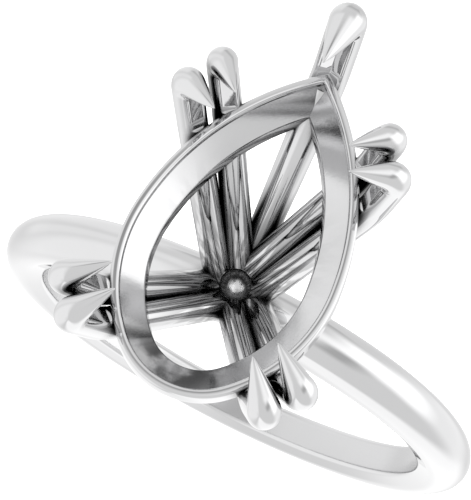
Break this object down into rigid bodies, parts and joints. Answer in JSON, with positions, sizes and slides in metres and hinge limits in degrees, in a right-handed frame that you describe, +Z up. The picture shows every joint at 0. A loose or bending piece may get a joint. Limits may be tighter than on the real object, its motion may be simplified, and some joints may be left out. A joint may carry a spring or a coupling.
{
  "type": "pear engagement ring",
  "caption": "Pear-shaped ring mount with no stone: a plain domed shank carries an open pear rim on paired claw prongs and one larger grooved prong at its point.",
  "frame": {"origin": "middle of the finger hole", "axes": "the ring lies on its side; +X along the shank's width at the head (the mirror direction), -Y towards the head, +Z up"},
  "size_m": [0.0212, 0.0296, 0.0127],
  "materials": {
    "white_metal": "mirror-polished white gold or platinum"
  },
  "bodies": {
    "root": {"ring": "white_metal"}
  },
  "joints": []
}
